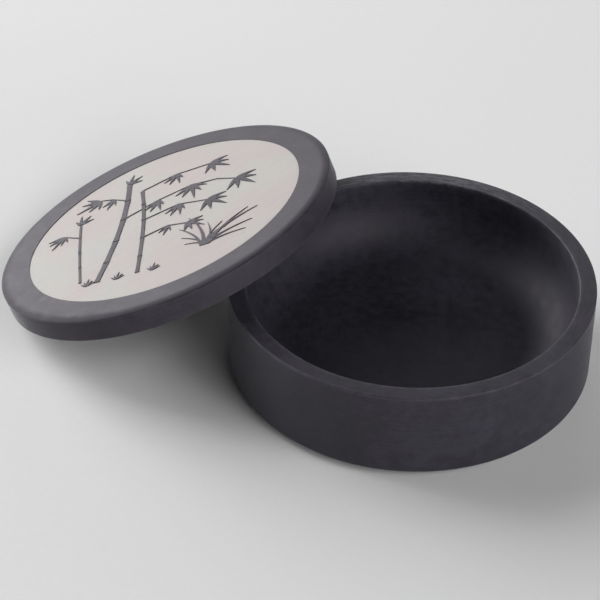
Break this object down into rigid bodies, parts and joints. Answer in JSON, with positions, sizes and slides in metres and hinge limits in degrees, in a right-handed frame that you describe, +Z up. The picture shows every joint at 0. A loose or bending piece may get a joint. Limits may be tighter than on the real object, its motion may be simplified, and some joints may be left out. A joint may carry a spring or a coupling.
{
  "type": "lidded ink grinding bowl",
  "caption": "Round stone ink grinding bowl with a coved well, and a loose round lid that leans on its rim.",
  "frame": {"origin": "centre of the bowl's flat base, on the surface it stands on", "axes": "+Z up along the axis of the bowl; the lid leans from the -X side, a little towards +Y; -Y faces the viewer"},
  "size_m": [0.2176, 0.1621, 0.0572],
  "materials": {
    "ink_stone": "honed dark stone with a soft waxed sheen; the round field on the lid is ground down to pale grey stone"
  },
  "bodies": {
    "bowl": {"inkstone_bowl": "ink_stone"},
    "lid": {"inkstone_lid": "ink_stone"}
  },
  "joints": [
    {"name": "lid_lift", "type": "slide", "parent": "bowl", "child": "lid", "axis": [0, 0, 1], "range_m": [0, 0.06]}
  ]
}
